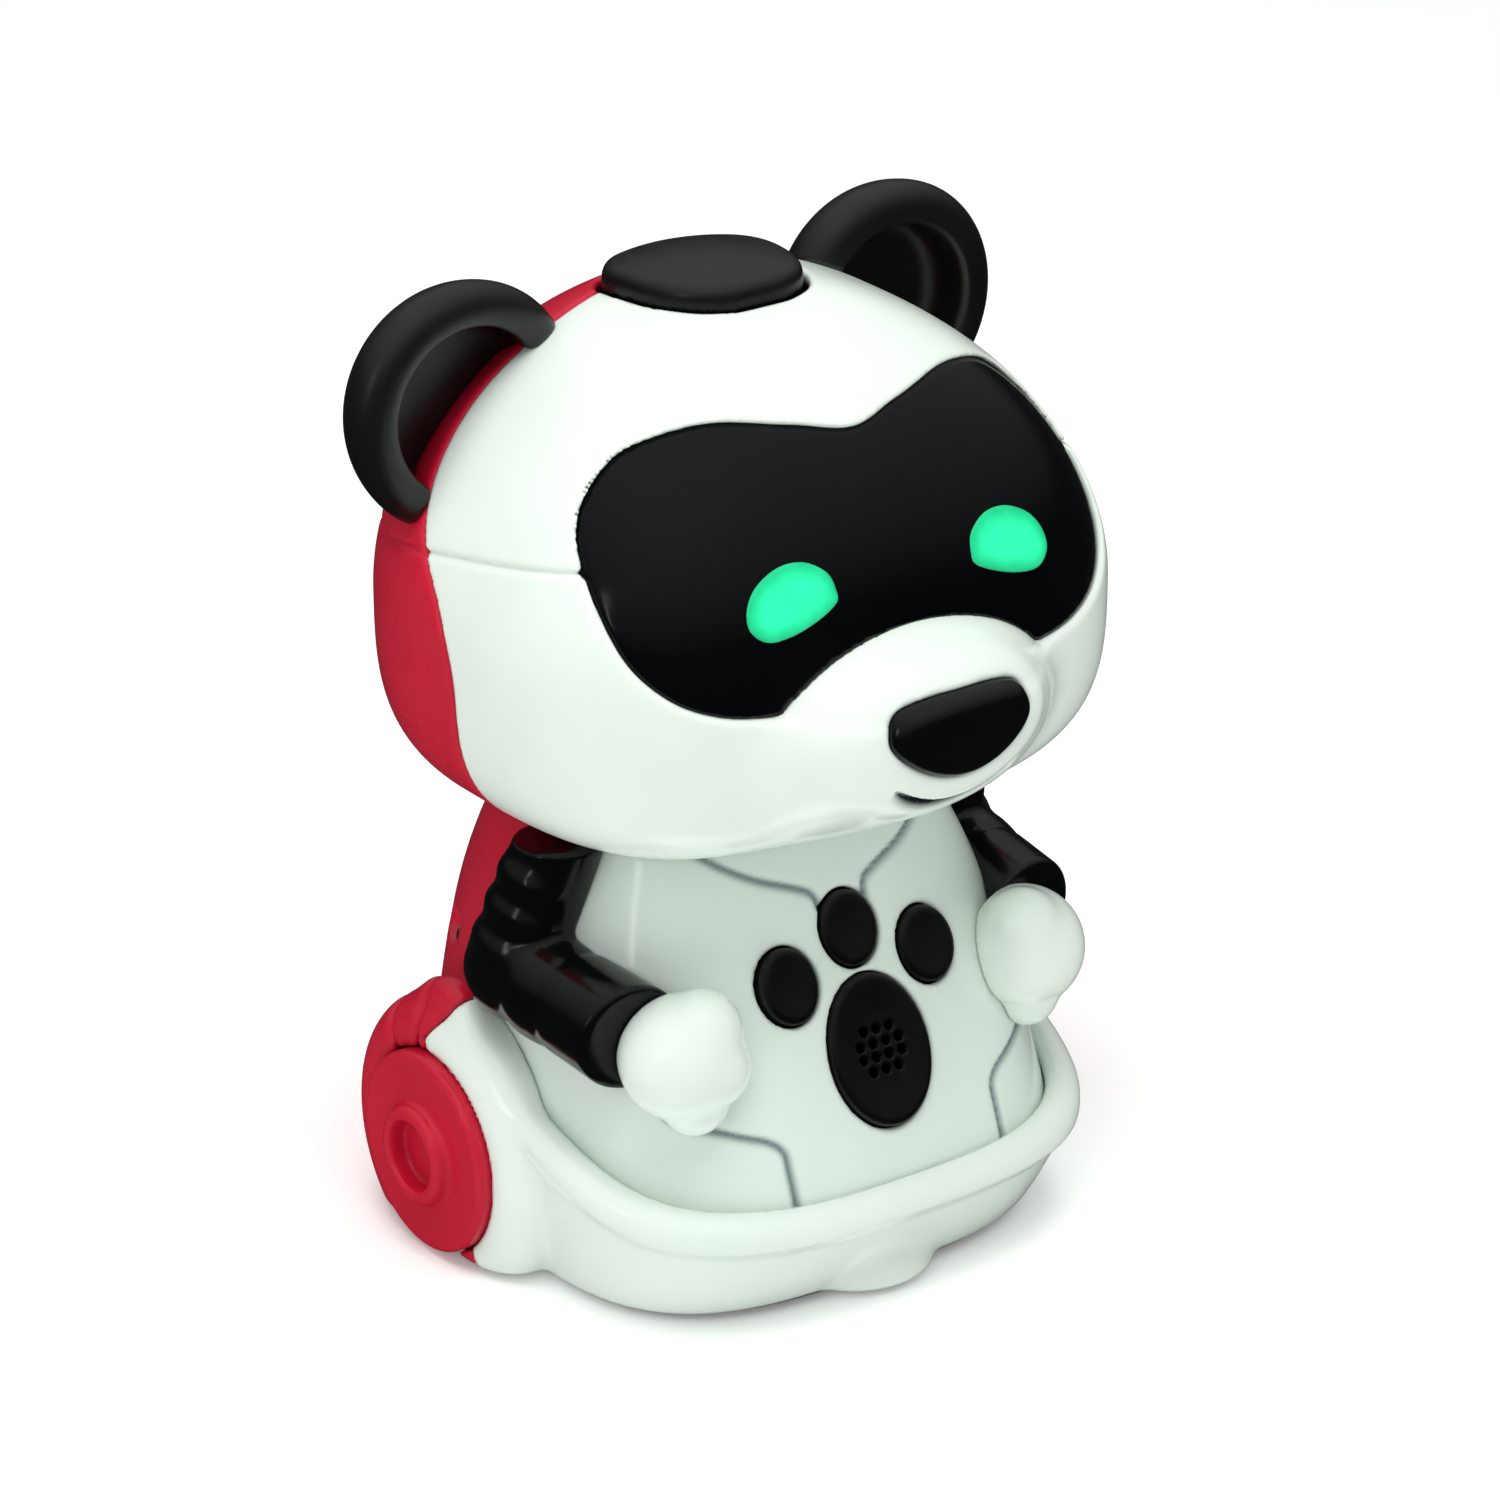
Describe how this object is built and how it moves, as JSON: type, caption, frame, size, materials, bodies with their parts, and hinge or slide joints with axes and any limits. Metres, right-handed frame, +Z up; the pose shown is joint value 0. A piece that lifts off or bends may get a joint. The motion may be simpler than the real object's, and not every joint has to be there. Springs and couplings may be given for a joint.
{
  "type": "two wheel robot",
  "caption": "Bear-faced coding robot toy with a big head, round ears, chest paw buttons, and a skirted base on driven side wheels and a front caster ball",
  "frame": {"origin": "on the floor under the middle of the robot's bounding box", "axes": "+Z up, the face looks along -Y, +X is the robot's left-hand side"},
  "size_m": [0.121, 0.114, 0.161],
  "materials": {
    "white_gloss": "glossy white moulded plastic",
    "red_gloss": "glossy red moulded plastic",
    "black_gloss": "glossy black plastic",
    "black_satin": "satin black soft-touch plastic",
    "visor_black": "smoked black visor plastic",
    "eye_glow": "lit green translucent window",
    "tyre_rubber": "black rubber",
    "circuit_board": "green circuit board",
    "steel": "bright steel",
    "brass": "sintered bush",
    "gear_white": "natural acetal",
    "dark_plastic": "dark grey plastic",
    "cell_wrap": "plain cell wrap"
  },
  "bodies": {
    "robot": {"head_front_upper": "white_gloss", "head_front_lower": "white_gloss", "torso_front": "white_gloss", "hand_left": "white_gloss", "hand_right": "white_gloss", "base_front": "white_gloss", "head_back_upper": "red_gloss", "head_back_lower": "red_gloss", "torso_back": "red_gloss", "base_back": "red_gloss", "nose_cap": "black_gloss", "arm_left": "black_gloss", "arm_right": "black_gloss", "ear_left": "black_satin", "ear_right": "black_satin", "speaker_pad": "black_satin", "face_visor": "visor_black", "eye_left": "eye_glow", "eye_right": "eye_glow", "eye_lights": "eye_glow", "keypad_domes": "tyre_rubber", "crown_switch": "circuit_board", "eye_board": "circuit_board", "keypad_board": "circuit_board", "main_board": "circuit_board", "head_screws": "steel", "torso_screws": "steel", "base_screws": "steel", "battery_contacts": "steel", "motor_left": "steel", "motor_right": "steel", "axle_bushes_left": "brass", "axle_bushes_right": "brass", "neck_collar": "dark_plastic", "speaker_driver": "dark_plastic", "base_pan": "dark_plastic", "caster_cup": "dark_plastic", "gearbox_left": "dark_plastic", "gearbox_right": "dark_plastic", "batteries": "cell_wrap"},
    "crown_button": {"crown_button": "black_satin"},
    "toe_left": {"toe_button_left": "black_satin"},
    "toe_middle": {"toe_button_middle": "black_satin"},
    "toe_right": {"toe_button_right": "black_satin"},
    "wheel_left": {"wheel_left": "red_gloss", "tyre_left": "tyre_rubber", "axle_left": "steel", "axle_gear_left": "gear_white"},
    "wheel_right": {"wheel_right": "red_gloss", "tyre_right": "tyre_rubber", "axle_right": "steel", "axle_gear_right": "gear_white"},
    "idler_left": {"idler_gear_left": "gear_white"},
    "idler_right": {"idler_gear_right": "gear_white"},
    "pinion_left": {"motor_pinion_left": "gear_white"},
    "pinion_right": {"motor_pinion_right": "gear_white"},
    "caster": {"caster_ball": "steel"},
    "power_switch": {"power_switch": "black_satin"},
    "battery_door": {"battery_door": "dark_plastic", "door_screw": "steel"}
  },
  "joints": [
    {"name": "crown_press", "type": "slide", "parent": "robot", "child": "crown_button", "axis": [0, 0, -1], "range_m": [0, 0.0015], "stiffness_N_per_m": 900},
    {"name": "toe_left_press", "type": "slide", "parent": "robot", "child": "toe_left", "axis": [0, 0.9026, -0.4305], "range_m": [0, 0.0012], "stiffness_N_per_m": 800},
    {"name": "toe_middle_press", "type": "slide", "parent": "robot", "child": "toe_middle", "axis": [0, 0.9026, -0.4305], "range_m": [0, 0.0012], "stiffness_N_per_m": 800},
    {"name": "toe_right_press", "type": "slide", "parent": "robot", "child": "toe_right", "axis": [0, 0.9026, -0.4305], "range_m": [0, 0.0012], "stiffness_N_per_m": 800},
    {"name": "wheel_left_spin", "type": "hinge", "parent": "robot", "child": "wheel_left", "pos_m": [0.048, 0.0151, 0.0173], "axis": [1, 0, 0], "continuous": true},
    {"name": "idler_left_spin", "type": "hinge", "parent": "robot", "child": "idler_left", "pos_m": [0.032, 0.01405, 0.02935], "axis": [1, 0, 0], "continuous": true},
    {"name": "pinion_left_spin", "type": "hinge", "parent": "robot", "child": "pinion_left", "pos_m": [0.033, 0.00213, 0.03145], "axis": [1, 0, 0], "continuous": true},
    {"name": "wheel_right_spin", "type": "hinge", "parent": "robot", "child": "wheel_right", "pos_m": [-0.048, 0.0151, 0.0173], "axis": [1, 0, 0], "continuous": true},
    {"name": "idler_right_spin", "type": "hinge", "parent": "robot", "child": "idler_right", "pos_m": [-0.032, 0.01405, 0.02935], "axis": [1, 0, 0], "continuous": true},
    {"name": "pinion_right_spin", "type": "hinge", "parent": "robot", "child": "pinion_right", "pos_m": [-0.033, 0.00213, 0.03145], "axis": [1, 0, 0], "continuous": true},
    {"name": "caster_roll", "type": "hinge", "parent": "robot", "child": "caster", "pos_m": [0, -0.0305, 0.006], "axis": [1, 0, 0], "continuous": true},
    {"name": "power_switch_slide", "type": "slide", "parent": "robot", "child": "power_switch", "axis": [1, 0, 0], "range_m": [0, 0.004]},
    {"name": "battery_door_lift", "type": "slide", "parent": "robot", "child": "battery_door", "axis": [0, 0, -1], "range_m": [0, 0.02]}
  ],
  "couplings": [
    {"joint": "idler_left_spin", "follows": "wheel_left_spin", "ratio": -3},
    {"joint": "pinion_left_spin", "follows": "wheel_left_spin", "ratio": 9},
    {"joint": "idler_right_spin", "follows": "wheel_right_spin", "ratio": -3},
    {"joint": "pinion_right_spin", "follows": "wheel_right_spin", "ratio": 9}
  ]
}
